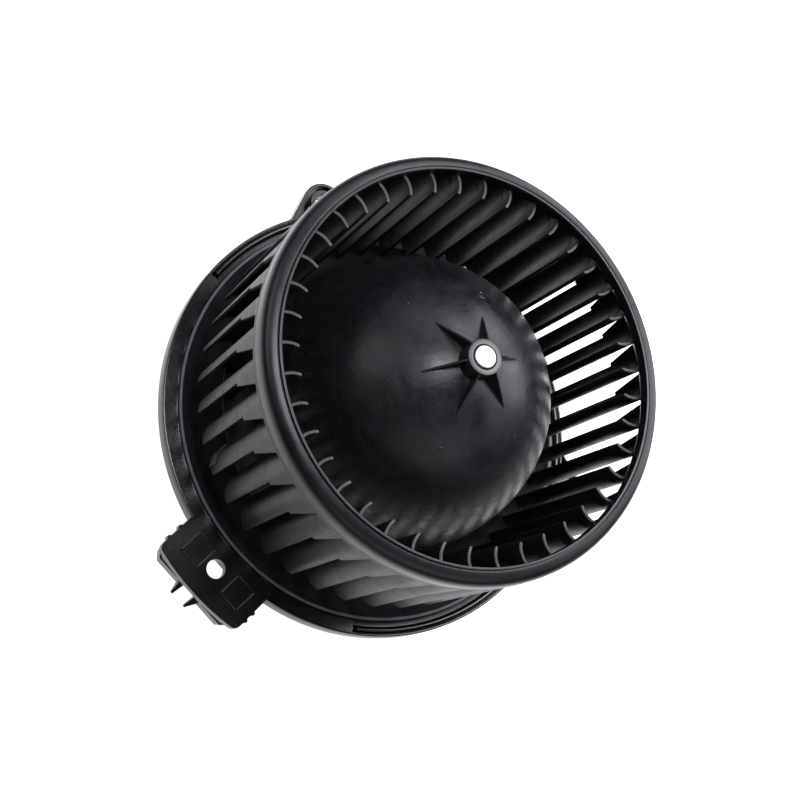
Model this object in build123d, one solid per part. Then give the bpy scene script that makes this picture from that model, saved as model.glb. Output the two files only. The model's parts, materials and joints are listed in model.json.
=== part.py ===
from build123d import *
import math
import os

# Cabin blower: a squirrel-cage fan wheel on a brushed motor, carried by a three-eared
# mounting flange. Millimetres. The origin is on the motor axis in the plane of the ears'
# seating faces. +Z runs along the axis to the wheel's open end, -Y to the wide ear.

# ---- fan wheel ----
wheel_od = 150.0             # over the inlet ring
blade_band = 13.7            # radial depth of the ring of blades
blade_count = 41
blade_phase = 6.5            # angle of the first blade's inner edge
blade_thickness = 1.4
blade_camber_r = 8.7
blade_wrap = 113.0           # angle the blade section turns through
blade_entry = 66.7           # slant of the section at its inner edge
blade_foot_z = 10.8
blade_height = 68.2
step_drop = 23.5             # from the blade tips down to the outer step
step_width = 1.3
gusset_reach = 3.3           # how much wider the blade is at the ring than at the step
ring_height = 10.2
ring_lip_rise = 3.7          # lip above the blade tips
ring_depth = 6.4             # radial depth of the ring, out to the lip
ring_rear_wall = 2.0
ring_inset = 0.1             # blades stop this far inside the ring's outer face
dome_gap = 6.1               # between the dome's base and the blades
dome_apex_rise = 4.2         # above the blade tips
dome_foot_drop = 5.8         # start of the dome's outline, below the blade feet
dome_rise = 3.08             # exponents of the dome's outline
dome_round = 1.53
dome_wall = 2.0
dome_skirt_rise = 8.0        # where the dome starts to flare into the disc
disc_overlap = 4.7           # disc under the blades, from their inner edges
disc_thickness = 2.0
disc_rise = 0.4              # disc underside above the blade feet
boss_wall = 2.3
boss_rise = 5.8              # boss face above the dome
boss_gap = 3.5               # between the boss and the motor's nose
hub_rib_count = 6
hub_rib_phase = -1.5
hub_rib_length = 12.3        # from the boss out along the dome
hub_rib_thickness = 1.0
hub_rib_root = 1.0           # how deep a rib is let into the dome and the boss
clip_blade = 27              # blade that carries the balance clip
clip_height = 7.0
clip_wall = 0.6

# ---- shaft and fits ----
shaft_r = 4.0
shaft_proud = 0.4            # shaft end above the boss face
shaft_chamfer = 0.4
running_clearance = 0.03
part_gap = 0.3               # between faces of different bodies
slide_clearance = 0.08

# ---- mounting flange ----
flange_margin = 10.0         # flange rim outside the wheel
flange_depth = 6.3
flange_wall = 2.2
flange_edge = 0.3            # draft of the rim's outer wall
rim_width = 3.1              # from the groove to the flange's edge
groove_width = 2.85
groove_depth = 1.8
seal_ridge_width = 1.7
seal_ridge_height = 1.0
ridge_draft = 0.3
ridge_land = 0.55            # between the seal ridge and the bowl's edge
bowl_slope = 7.8             # radial width of the bowl's sloping wall
bowl_depth = 6.5
bowl_corner = 2.5            # where the bowl floor meets the cup
cup_wall = 2.5
cup_drop = 20.0              # cup's rim below the motor can's top
cup_lip = 2.4
ear_overhang = 3.5           # ear holes outside the flange's edge
ear_angles = (30, 150, 270)
ear_hole_r = 3.5
ear_wall = 5.0
ear_spread = 11.3            # half angle of an ear's root on the flange
ear_thickness = 4.0
ear_boss_wall = 2.4
wide_ear_width = 40.6
wide_ear_overhang = 11.9     # the wide ear's outer arc beyond its hole
wide_ear_corner = 3.5
foot_depth = 14.0
foot_slot = 5.0
foot_setback = 1.6           # feet stand in from the ear's outer arc
foot_inset = 0.6             # and in from its sides
foot_wall = 1.8
foot_window = (8.6, 9.8)
foot_window_depth = 0.5
guide_rib_reach = 4.0
guide_rib_height = 7.0
guide_rib_thickness = 1.6
guide_rib_x = 3.6
guide_rib_tip = (0.6, 1.6)
stiffener_count = 12
stiffener_phase = 15
stiffener_height = 4.0
thin_rib = 1.6
ridge_rib_angles = (-51, 69, -171)

# ---- motor ----
can_r = 33.0
can_wall = 2.0
can_bottom_z = -14.0
can_length = 68.0
can_shoulder = 3.0
nose_height = 6.5
nose_wall = 1.5
nose_edge = 1.0
shaft_opening = 1.5          # round the shaft where it leaves the can
isolator_thickness = 3.2
isolator_height = 9.0
isolator_groove = 0.8
bearing_wall = 3.5
bearing_length = 9.0
bearing_crown = 0.5
bearing_seat_gap = 0.8
felt_thickness = 1.5
retainer_rim = 7.5           # retainer's rim outside the bush
retainer_flat = 3.0
retainer_dish = 2.2
retainer_skin = 0.5
magnet_thickness = 6.3
magnet_span = 132.0
magnet_overhang = 2.0        # magnets beyond each end of the core
air_gap = 0.8
core_lift = 22.0             # core above the can's rear edge
core_headroom = 12.0         # core below the can's top
core_back = 8.7              # iron between the shaft and the slots
slot_count = 12
slot_roof = 1.2
slot_mouth = 2.0
tooth_width = 2.2
slot_liner = 0.25
winding_lift = 0.6
winding_overhang = 4.2
winding_slope = 1.5
commutator_lift = 4.2        # commutator above the can's rear edge
commutator_length = 10.2
commutator_hub_wall = 4.6
bar_depth = 2.4
bar_gap = 0.6
washer_width = 3.0
washer_thickness = 0.5
washer_gap = 0.5
end_plate_thickness = 2.0
rear_nose_depth = 10.0       # rear nose behind the end plate

# ---- brush gear ----
card_thickness = 2.0
brush_width = 6.0
brush_height = 7.0
brush_lift = 4.2             # brush centre above the commutator's rear edge
brush_contact = 0.06
holder_wall = 0.8
holder_gap = 2.4             # between the commutator and a brush holder
holder_setback = 2.06        # holder's end short of the brush's tail
arm_length = 10.0
arm_offset = 1.4             # spring pivot behind the brush's tail
arm_thickness = 0.8
arm_height = 3.0
arm_overrun = 0.4
pad_r = 0.8
pad_gap = 0.1
coil_margin = 3.54           # between a spring's coil and the can
coil_wall = 1.0
coil_clearance = 0.4
coil_height = 5.2
coil_turns = 5
coil_notch = 0.3
post_r = 1.2
choke_margin = 12.0          # choke centre line from the can's wall
choke_core_r = 2.2
choke_core_length = 16.0
choke_coil_r = 3.6
choke_coil_length = 11.0
choke_turns = 8
wire_groove = 0.4
capacitor_size = (7.0, 5.0, 7.0)
capacitor_angle = 46.7
capacitor_margin = 6.95      # capacitor's middle from the can's wall

# ---- rear cover and connector ----
cover_margin = 7.3           # cover outside the cup
cover_wall = 2.2
cover_edge = 2.0
cover_headroom = 3.8         # between the motor's rear nose and the cover
lug_r = 4.6
lug_height = 6.0
lug_offset = 4.0             # lugs outside the cover's wall
lug_post_height = 5.0        # flange posts that take the cover screws
lug_post_inset = 0.6
screw_r = 1.6
screw_clearance = 0.2
screw_tip_gap = 0.6
screw_head_r = 3.2
screw_head_height = 2.2
screw_recess = (3.6, 0.9, 1.0)
socket_length = 21.0
socket_height = 13.0
socket_wall = 1.6
socket_side_gap = 3.25       # beside the terminals
socket_floor = 3.0
socket_inset = 4.0           # socket's root inside the cover's wall
socket_lift = 8.5            # socket's middle above the cover's floor
latch_size = (5.0, 6.0, 1.4)
latch_setback = 1.0
terminal_width = 6.3
terminal_thickness = 0.8
terminal_gap = 1.7
terminal_inset = 7.0         # terminals from the can's wall
terminal_setback = 5.0       # terminal ends inside the socket's mouth
terminal_shelf = 8.0
terminal_clearance = 1.0


# ---- worked-out values ----
overlap = 1.0                # cuts run this far past the faces they open
blade_pitch = 360 / blade_count
ring_r = wheel_od / 2
blade_inner_r = ring_r - blade_band
blade_tip_z = blade_foot_z + blade_height
ring_top_z = blade_tip_z + ring_lip_rise
ring_rear_z = ring_top_z - ring_height
ring_lip_r = ring_r - ring_depth
step_z = blade_tip_z - step_drop
camber_start_r = blade_inner_r + blade_thickness / 2
camber_x = camber_start_r + blade_camber_r * math.cos(math.radians(blade_entry))
camber_y = blade_camber_r * math.sin(math.radians(blade_entry))
dome_base_r = blade_inner_r - dome_gap
dome_apex_z = blade_tip_z + dome_apex_rise
dome_height = dome_apex_z - (blade_foot_z - dome_foot_drop)
disc_r = blade_inner_r + disc_overlap
disc_z = blade_foot_z + disc_rise
skirt_z = disc_z + dome_skirt_rise
boss_r = shaft_r + boss_wall
boss_top_z = dome_apex_z + boss_rise

flange_r = ring_r + flange_margin
groove_outer_r = flange_r - rim_width
ridge_outer_r = groove_outer_r - groove_width
ridge_inner_r = ridge_outer_r - seal_ridge_width
bowl_edge_r = ridge_inner_r - ridge_land
bowl_floor_r = bowl_edge_r - bowl_slope
bowl_z = -bowl_depth
flange_back_z = bowl_z - flange_wall
ear_hole_circle_r = flange_r + ear_overhang
ear_round_r = ear_hole_r + ear_wall
wide_ear_r = ear_hole_circle_r + wide_ear_overhang
foot_width = wide_ear_width / 2 - foot_inset - foot_slot / 2
foot_x = foot_slot / 2 + foot_width / 2
foot_far = wide_ear_r - foot_setback
foot_near = flange_r - flange_wall

can_top_z = can_bottom_z + can_length
can_inner_r = can_r - can_wall
bearing_r = shaft_r + bearing_wall
nose_inner_r = bearing_r + felt_thickness
nose_r = nose_inner_r + can_wall
nose_top_z = can_top_z + nose_height
boss_bottom_z = nose_top_z + boss_gap
cup_inner_r = can_r + isolator_thickness
cup_outer_r = cup_inner_r + cup_wall
cup_top_z = can_top_z - cup_drop
core_r = can_inner_r - magnet_thickness - air_gap
core_z = can_bottom_z + core_lift
core_top_z = can_top_z - core_headroom
slot_bottom_r = shaft_r + core_back
slot_top_r = core_r - slot_roof
commutator_r = shaft_r + commutator_hub_wall + bar_depth
commutator_z = can_bottom_z + commutator_lift
commutator_top_z = commutator_z + commutator_length
end_plate_z = can_bottom_z - end_plate_thickness
card_z = commutator_z - card_thickness - part_gap
card_top_z = card_z + card_thickness
front_bearing_z = nose_top_z - can_wall - bearing_length / 2
rear_nose_z = end_plate_z - rear_nose_depth
nose_floor_z = rear_nose_z + nose_wall
rear_bearing_z = nose_floor_z + bearing_seat_gap + bearing_length / 2
shaft_bottom_z = nose_floor_z + bearing_seat_gap - part_gap
shaft_top_z = boss_top_z + shaft_proud

coil_inner_r = post_r + coil_clearance
coil_outer_r = coil_inner_r + coil_wall
spring_x = can_inner_r - coil_margin - coil_outer_r
spring_y = -arm_length
brush_start = commutator_r + brush_contact
brush_tail = spring_x - arm_offset
brush_z = commutator_z + brush_lift
brush_low_z = brush_z - brush_height / 2
brush_high_z = brush_z + brush_height / 2
holder_start = commutator_r + holder_gap
holder_end = brush_tail - holder_setback
choke_y = can_inner_r - choke_margin

cover_r = cup_outer_r + cover_margin
cover_inner_r = cover_r - cover_wall
cover_floor_z = rear_nose_z - cover_headroom
cover_bottom_z = cover_floor_z - cover_wall
lug_circle_r = cover_r + lug_offset
lug_low_z = flange_back_z - lug_height
lug_post_top_z = bowl_z + lug_post_height
terminal_pitch = terminal_width + terminal_gap
terminal_y = -(can_inner_r - terminal_inset)
socket_width = terminal_pitch + terminal_width + 2 * (socket_side_gap + socket_wall)
socket_z = cover_bottom_z + socket_lift
socket_low_z = socket_z - socket_height / 2
socket_high_z = socket_z + socket_height / 2
socket_root_y = -(cover_r - socket_inset)
socket_mouth_y = socket_root_y - socket_length


def polar(radius, angle, z=0.0):
    turn = math.radians(angle)
    return (radius * math.cos(turn), radius * math.sin(turn), z)


def revolved(points):
    outline = Plane.XZ * make_face(Polyline(*points, close=True))
    return revolve(outline, Axis.Z)


def tube(outer_r, inner_r, low_z, high_z):
    ring = Circle(outer_r) - Circle(inner_r)
    return extrude(Pos(0, 0, low_z) * ring, high_z - low_z)


def disc(radius, low_z, high_z):
    return extrude(Pos(0, 0, low_z) * Circle(radius), high_z - low_z)


def box(size_x, size_y, low_z, high_z, x=0.0, y=0.0):
    return Pos(x, y, (low_z + high_z) / 2) * Box(size_x, size_y, high_z - low_z)


def around(shape, count, start=0.0):
    return [Rot(0, 0, start + i * 360 / count) * shape for i in range(count)]


# ---- fan wheel pieces ----
def camber_strip(thickness, start, sweep):
    """A strip along the blade's camber arc; angles are measured about the arc's centre."""
    centre = (camber_x, camber_y)
    outer = CenterArc(centre, blade_camber_r + thickness / 2, start, sweep)
    inner = CenterArc(centre, blade_camber_r - thickness / 2, start, sweep)
    return make_face([outer, inner, Line(outer @ 0, inner @ 0), Line(outer @ 1, inner @ 1)])


def blade():
    """One blade; its top is narrower, so that it ends inside the ring's wall."""
    section = camber_strip(blade_thickness, -blade_wrap, blade_wrap)
    section += Pos(camber_start_r, 0) * Circle(blade_thickness / 2)
    lower = section & Circle(ring_r - ring_inset)
    upper = section & Circle(ring_r - ring_rear_wall)
    body = extrude(Pos(0, 0, blade_foot_z) * lower, ring_rear_z + overlap - blade_foot_z)
    return body + extrude(Pos(0, 0, blade_foot_z) * upper, blade_height)


def blade_gusset():
    """The wedge that widens a blade's outer edge from the step up to the ring."""
    root = camber_y - blade_thickness
    at_step = camber_y + step_width
    at_ring = at_step + gusset_reach
    side = [
        (root, step_z),
        (at_step, step_z),
        (at_ring, ring_rear_z),
        (at_ring, ring_rear_z + overlap),
        (root, ring_rear_z + overlap),
    ]
    wedge = extrude(Plane.YZ * make_face(Polyline(*side, close=True)), 2 * wheel_od)
    band_outer = ring_r - ring_inset
    return wedge & tube(band_outer, band_outer - blade_thickness, step_z, ring_top_z)


def dome_points(base_r, apex_z, low_z, inner_r):
    """Points down a dome outline that follows r = base * (1 - u^rise)^(1 / round)."""
    count = 12
    foot_z = apex_z - dome_height
    u_low = (low_z - foot_z) / dome_height
    u_high = (1 - (inner_r / base_r) ** dome_round) ** (1 / dome_rise)
    points = []
    for i in range(count):
        share = math.sin(math.pi / 2 * (1 - i / (count - 1)))
        u = u_low + (u_high - u_low) * share
        r = base_r * (1 - u ** dome_rise) ** (1 / dome_round)
        points.append((r, foot_z + u * dome_height))
    return points


def hub_shell():
    """The dome, flared at its foot into the disc that carries the blades."""
    hole_r = boss_r - overlap
    outer = dome_points(dome_base_r, dome_apex_z, skirt_z, hole_r)
    inner = dome_points(dome_base_r - dome_wall, dome_apex_z - dome_wall, skirt_z, hole_r)
    top = disc_z + disc_thickness
    flare = skirt_z - top
    under_flare = skirt_z - disc_z
    outer_foot = outer[-1]
    inner_foot = inner[-1]
    disc_start = outer_foot[0] + flare
    under_start = inner_foot[0] + under_flare
    edges = [
        Spline(*outer),
        Line(outer[0], inner[0]),
        Spline(*inner),
        RadiusArc(outer_foot, (disc_start, top), -flare),
        Line((disc_start, top), (disc_r, top)),
        Line((disc_r, top), (disc_r, disc_z)),
        Line((disc_r, disc_z), (under_start, disc_z)),
        RadiusArc(inner_foot, (under_start, disc_z), -under_flare),
    ]
    return revolve(Plane.XZ * make_face(edges), Axis.Z)


def hub_rib():
    """One of the star's ribs: from the boss's edge down to a point on the dome."""
    tip = dome_points(dome_base_r, dome_apex_z, skirt_z, boss_r + hub_rib_length)[0]
    root_r = boss_r - hub_rib_root
    low = tip[1] - hub_rib_root
    top = boss_top_z - hub_rib_root / 2
    side = [(root_r, top), tip, (tip[0] - 2 * hub_rib_root, low), (root_r, low)]
    face = Plane.XZ * make_face(Polyline(*side, close=True))
    return extrude(face, hub_rib_thickness / 2, both=True)


def inlet_ring():
    rear_edge = 0.3
    crown_rise = 2.6
    crown_r = 1.5
    groove = 0.4
    lip_width = 0.9
    outer_low = (ring_r - rear_edge, ring_rear_z)
    crown = (ring_r, ring_rear_z + crown_rise)
    bulge = (ring_r - crown_r, ring_top_z - crown_rise)
    shoulder = (ring_lip_r + lip_width + 2 * groove, ring_top_z - groove)
    groove_floor = (ring_lip_r + lip_width + groove, ring_top_z - 2 * groove)
    lip_outer = (ring_lip_r + lip_width, ring_top_z)
    lip_inner = (ring_lip_r, ring_top_z)
    throat = (ring_lip_r, blade_tip_z)
    inner_low = (ring_r - ring_rear_wall, ring_rear_z)
    edges = [
        Line(outer_low, crown),
        ThreePointArc(crown, bulge, shoulder),
        Line(shoulder, groove_floor),
        Line(groove_floor, lip_outer),
        Line(lip_outer, lip_inner),
        Line(lip_inner, throat),
        Line(throat, inner_low),
        Line(inner_low, outer_low),
    ]
    return revolve(Plane.XZ * make_face(edges), Axis.Z)


def fan_wheel():
    boss = disc(boss_r, boss_bottom_z, boss_top_z)
    blades = around(blade(), blade_count, blade_phase)
    gussets = around(blade_gusset(), blade_count, blade_phase)
    ribs = around(hub_rib(), hub_rib_count, hub_rib_phase)
    wheel = hub_shell() + ([boss, inlet_ring()] + blades + gussets + ribs)
    return wheel - disc(shaft_r, boss_bottom_z - overlap, boss_top_z + overlap)


def balance_clip():
    """A U of spring steel pushed over one blade's foot."""
    jaw = blade_thickness + 2 * clip_wall
    start = -0.62 * blade_wrap
    sweep = 0.44 * blade_wrap
    outer = extrude(Pos(0, 0, blade_foot_z - clip_wall) * camber_strip(jaw, start, sweep), clip_height)
    gap = camber_strip(blade_thickness, start - overlap, sweep + 2 * overlap)
    slot = extrude(Pos(0, 0, blade_foot_z) * gap, clip_height)
    return Rot(0, 0, blade_phase + clip_blade * blade_pitch) * (outer - slot)


# ---- mounting flange ----
def ear_outline():
    """A rounded ear: the hull of the round end and its root on the flange."""
    centre_r = ear_hole_circle_r
    root_x, root_y, _ = polar(flange_r - flange_edge, ear_spread)
    gap_x = root_x - centre_r
    distance = math.hypot(gap_x, root_y)
    facing = math.atan2(root_y, gap_x) - math.acos(ear_round_r / distance)
    touch = (centre_r + ear_round_r * math.cos(facing), ear_round_r * math.sin(facing))
    tip = (centre_r + ear_round_r, 0)
    mirror = (touch[0], -touch[1])
    inner_x = groove_outer_r
    edges = [
        ThreePointArc(touch, tip, mirror),
        Line(mirror, (root_x, -root_y)),
        Line((root_x, -root_y), (inner_x, -root_y)),
        Line((inner_x, -root_y), (inner_x, root_y)),
        Line((inner_x, root_y), (root_x, root_y)),
        Line((root_x, root_y), touch),
    ]
    return make_face(edges)


def round_ear(angle):
    """An ear open to the front: a rim wall, a floor and a boss round its screw hole."""
    outline = ear_outline()
    floor_z = flange_wall - flange_depth
    ear = extrude(Pos(0, 0, -flange_depth) * outline, flange_depth)
    hollow = offset(outline, -flange_wall)
    ear -= extrude(Pos(0, 0, floor_z) * hollow, overlap - floor_z)
    boss = Pos(ear_hole_circle_r, 0, 0) * disc(ear_hole_r + ear_boss_wall, -flange_depth, 0)
    return Rot(0, 0, angle) * (ear + boss)


def wide_ear():
    """The -Y ear: a plate with two hollow feet, a slot between them and two guide ribs."""
    inner_y = groove_outer_r
    plate = box(wide_ear_width, wide_ear_r - inner_y, -ear_thickness, 0, 0, -(wide_ear_r + inner_y) / 2)
    plate = plate & disc(wide_ear_r, -ear_thickness, 0)
    corners = plate.edges().filter_by(Axis.Z).sort_by(Axis.Y)[:2]
    plate = fillet(corners, wide_ear_corner)
    length = foot_far - foot_near
    middle = -(foot_far + foot_near) / 2
    low = -foot_depth
    ribs = []
    for side in (-1, 1):
        foot = box(foot_width, length, low, -ear_thickness, side * foot_x, middle)
        hollow = box(foot_width - 2 * foot_wall, length - 2 * foot_wall, low - overlap, -ear_thickness,
                     side * foot_x, middle)
        window = box(*foot_window, -foot_window_depth, overlap, side * foot_x, -ear_hole_circle_r)
        plate = plate + (foot - hollow) - window
        ribs.append(guide_rib(side))
    return plate + ribs


def guide_rib(side):
    """A fin that points outwards from the low edge of a foot."""
    low = -foot_depth
    root_y = -foot_far + foot_wall / 2
    tip_y = -foot_far - guide_rib_reach
    tip_low, tip_high = guide_rib_tip
    outline = [
        (root_y, low),
        (tip_y, low + tip_low),
        (tip_y + tip_low, low + tip_high),
        (root_y, low + guide_rib_height),
    ]
    fin = Plane.YZ * make_face(Polyline(*outline, close=True))
    return Pos(side * guide_rib_x, 0, 0) * extrude(fin, guide_rib_thickness / 2, both=True)


def flange_body():
    """The flange, its bowl and the cup that holds the motor, as one turned section."""
    skin_z = -groove_depth - flange_wall
    shoulder_r = can_r + isolator_groove
    profile = [
        (flange_r, -flange_depth),
        (flange_r - flange_edge, 0),
        (groove_outer_r + flange_edge, 0),
        (groove_outer_r, -groove_depth),
        (ridge_outer_r + ridge_draft, -groove_depth),
        (ridge_outer_r - ridge_draft, seal_ridge_height),
        (ridge_inner_r + ridge_draft, seal_ridge_height),
        (bowl_edge_r, -ridge_land),
        ((bowl_edge_r + bowl_floor_r) / 2, bowl_z * 0.62),
        (bowl_floor_r, bowl_z),
        (cup_outer_r + bowl_corner, bowl_z),
        (cup_outer_r, bowl_z + bowl_corner),
        (cup_outer_r, cup_top_z),
        (shoulder_r, cup_top_z),
        (shoulder_r, cup_top_z - cup_lip),
        (cup_inner_r, cup_top_z - cup_lip),
        (cup_inner_r, flange_back_z),
        (bowl_floor_r, flange_back_z),
        (bowl_edge_r, skin_z),
        (flange_r - flange_wall - flange_edge, skin_z),
        (flange_r - flange_wall, -flange_depth),
    ]
    return revolved(profile)


def stiffener():
    """A rib under the bowl, between the rear cover's lugs and the bowl's slope."""
    start = lug_circle_r + lug_r
    return box(bowl_floor_r - start, thin_rib, flange_back_z - stiffener_height, bowl_z - flange_wall / 2,
               (bowl_floor_r + start) / 2, 0)


def ridge_rib(angle):
    """A small radial rib across the groove outside the seal ridge."""
    start = ridge_outer_r - ridge_draft
    length = groove_outer_r + flange_edge - start
    return Rot(0, 0, angle) * box(length, thin_rib, -groove_depth - ridge_draft, 0, start + length / 2, 0)


def at_lugs(shape):
    return [Pos(*polar(lug_circle_r, angle)) * shape for angle in ear_angles]


def mounting_flange():
    body = flange_body()
    body += [round_ear(ear_angles[0]), round_ear(ear_angles[1]), wide_ear()]
    body += around(stiffener(), stiffener_count, stiffener_phase)
    body += [ridge_rib(angle) for angle in ridge_rib_angles]
    body += at_lugs(disc(lug_r - lug_post_inset, flange_back_z, lug_post_top_z))
    hole = Pos(ear_hole_circle_r, 0, 0) * disc(ear_hole_r, -foot_depth - overlap, overlap)
    body -= [Rot(0, 0, angle) * hole for angle in ear_angles]
    body -= at_lugs(disc(screw_r, flange_back_z - overlap, lug_post_top_z - overlap))
    slot = box(foot_slot, 2 * (foot_far - foot_near), -foot_depth - overlap, -ear_thickness, 0, -foot_far)
    return body - slot


# ---- motor shell and bearings ----
def motor_can():
    profile = [
        (can_r, can_bottom_z),
        (can_r, can_top_z - can_shoulder),
        (can_r - can_shoulder, can_top_z),
        (nose_r + nose_edge, can_top_z),
        (nose_r, can_top_z + nose_edge),
        (nose_r, nose_top_z - nose_edge),
        (nose_r - nose_edge, nose_top_z),
        (shaft_r + shaft_opening, nose_top_z),
        (shaft_r + shaft_opening, nose_top_z - can_wall),
        (nose_inner_r, nose_top_z - can_wall),
        (nose_inner_r, can_top_z - can_wall),
        (can_inner_r - can_wall, can_top_z - can_wall),
        (can_inner_r, can_top_z - 2 * can_wall),
        (can_inner_r, can_bottom_z),
    ]
    return revolved(profile)


def bearing(middle_z):
    """A sintered bush with a crowned outside."""
    half = bearing_length / 2
    bore_r = shaft_r + running_clearance
    end_r = bearing_r - bearing_crown
    edges = [
        Line((bore_r, middle_z - half), (end_r, middle_z - half)),
        ThreePointArc((end_r, middle_z - half), (bearing_r, middle_z), (end_r, middle_z + half)),
        Line((end_r, middle_z + half), (bore_r, middle_z + half)),
        Line((bore_r, middle_z + half), (bore_r, middle_z - half)),
    ]
    return revolve(Plane.XZ * make_face(edges), Axis.Z)


def oil_felt(low_z, high_z):
    return tube(nose_inner_r, bearing_r, low_z, high_z)


def bearing_retainer(seat_z):
    """A dished spring washer, fixed at its rim, that presses on the bush."""
    rim = bearing_r + retainer_rim
    flat = rim - retainer_flat
    hole_r = bearing_r + pad_gap
    dish_z = seat_z - retainer_dish
    profile = [
        (rim, seat_z),
        (flat, seat_z),
        (hole_r, dish_z),
        (hole_r, dish_z - retainer_skin),
        (flat, seat_z - retainer_skin),
        (rim, seat_z - retainer_skin),
    ]
    return revolved(profile)


def isolator(low_z):
    """A rubber ring round the can, grooved on its outside."""
    third = isolator_height / 3
    groove_r = cup_inner_r - isolator_groove
    profile = [
        (can_r, low_z),
        (cup_inner_r, low_z),
        (cup_inner_r, low_z + third),
        (groove_r, low_z + third),
        (groove_r, low_z + 2 * third),
        (cup_inner_r, low_z + 2 * third),
        (cup_inner_r, low_z + isolator_height),
        (can_r, low_z + isolator_height),
    ]
    return revolved(profile)


def terminal_slots(width, thickness, low_z, high_z):
    """The two openings that the terminals pass through."""
    return [box(width, thickness, low_z, high_z, side * terminal_pitch, terminal_y) for side in (-1, 1)]


def end_plate():
    profile = [
        (can_r, can_bottom_z),
        (nose_r + can_wall, can_bottom_z),
        (nose_inner_r, end_plate_z),
        (nose_inner_r, nose_floor_z),
        (0, nose_floor_z),
        (0, rear_nose_z),
        (nose_r - nose_edge, rear_nose_z),
        (nose_r, rear_nose_z + nose_edge),
        (nose_r, end_plate_z - nose_edge),
        (nose_r + nose_edge, end_plate_z),
        (can_r, end_plate_z),
    ]
    clear = 2 * terminal_clearance
    slots = terminal_slots(terminal_width + clear, terminal_thickness + clear,
                           end_plate_z - overlap, can_bottom_z + overlap)
    return revolved(profile) - slots


# ---- magnets and armature ----
def magnet(angle):
    low = core_z - magnet_overhang
    high = core_top_z + magnet_overhang
    arc = tube(can_inner_r, can_inner_r - magnet_thickness, low, high)
    span = magnet_span / 2
    far = 2 * can_r
    corners = [(0, 0), polar(far, -span)[:2], (2 * far, 0), polar(far, span)[:2]]
    wedge = make_face(Polyline(*corners, close=True))
    return Rot(0, 0, angle) * (arc & extrude(Pos(0, 0, low) * wedge, high - low))


def magnet_clip(angle):
    """A U spring between the edges of the two magnets."""
    middle = can_inner_r - magnet_thickness / 2
    width = magnet_thickness - 2 * clip_wall
    gap = 2 * middle * math.sin(math.radians(90 - magnet_span / 2)) - 2 * air_gap
    low = core_z + magnet_overhang
    high = core_top_z - magnet_overhang
    outer = box(width, gap, low, high, middle, 0)
    inner = box(width, gap - 2 * clip_wall, low + clip_wall, high + overlap, middle, 0)
    clip = (outer - inner) & disc(can_inner_r - pad_gap, low, high)
    return Rot(0, 0, angle) * clip


def slot_void(margin):
    """One winding slot, as wide as its teeth leave it; margin shrinks it to make the coil bar."""
    half_pitch = math.radians(180 / slot_count)
    low = slot_bottom_r + margin
    high = slot_top_r - margin
    side = (tooth_width / 2 + margin) / math.cos(half_pitch)
    half_low = low * math.tan(half_pitch) - side
    half_high = high * math.tan(half_pitch) - side
    corners = [(low, -half_low), (high, -half_high), (high, half_high), (low, half_low)]
    face = make_face(Polyline(*corners, close=True))
    return extrude(Pos(0, 0, core_z - winding_lift) * face, core_top_z - core_z + 2 * winding_lift)


def armature_core():
    core = disc(core_r, core_z, core_top_z)
    mouth = box(2 * slot_roof, slot_mouth, core_z - overlap, core_top_z + overlap, core_r, 0)
    core -= around(slot_void(0) + mouth, slot_count)
    return core - disc(shaft_r, core_z - overlap, core_top_z + overlap)


def armature_windings():
    bars = around(slot_void(slot_liner), slot_count)
    inner = slot_bottom_r + slot_liner
    outer = slot_top_r - slot_liner
    rear = revolved([
        (inner, core_z - winding_lift),
        (outer, core_z - winding_lift),
        (outer - winding_slope, core_z - winding_overhang),
        (inner, core_z - winding_overhang),
    ])
    front = revolved([
        (inner, core_top_z + winding_lift),
        (outer, core_top_z + winding_lift),
        (outer - winding_slope, core_top_z + winding_overhang),
        (inner, core_top_z + winding_overhang),
    ])
    return rear + (bars + [front])


def commutator_bars():
    ring = tube(commutator_r, commutator_r - bar_depth, commutator_z, commutator_top_z)
    slit = box(2 * commutator_r, bar_gap, commutator_z - overlap, commutator_top_z + overlap,
               commutator_r, 0)
    return ring - around(slit, slot_count, 180 / slot_count)


def commutator_hub():
    return tube(commutator_r - bar_depth, shaft_r, commutator_z - bar_gap / 2, commutator_top_z + overlap)


def thrust_washer(low_z):
    return tube(shaft_r + washer_width, shaft_r, low_z, low_z + washer_thickness)


def motor_shaft():
    shaft = disc(shaft_r, shaft_bottom_z, shaft_top_z)
    ends = shaft.edges().filter_by(GeomType.CIRCLE)
    return chamfer(ends, shaft_chamfer)


# ---- brush gear: made for the +X brush, turned half round for the other ----
def brush():
    start = commutator_r / 2
    body = box(brush_tail - start, brush_width, brush_low_z, brush_high_z, (brush_tail + start) / 2, 0)
    return body - disc(brush_start, brush_low_z - overlap, brush_high_z + overlap)


def brush_holder():
    clear = 2 * slide_clearance
    middle = (holder_start + holder_end) / 2
    length = holder_end - holder_start
    outer = box(length, brush_width + clear + 2 * holder_wall, card_top_z,
                brush_high_z + slide_clearance + holder_wall, middle, 0)
    hole = box(length + 2 * overlap, brush_width + clear, brush_low_z - slide_clearance,
               brush_high_z + slide_clearance, middle, 0)
    return outer - hole


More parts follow.
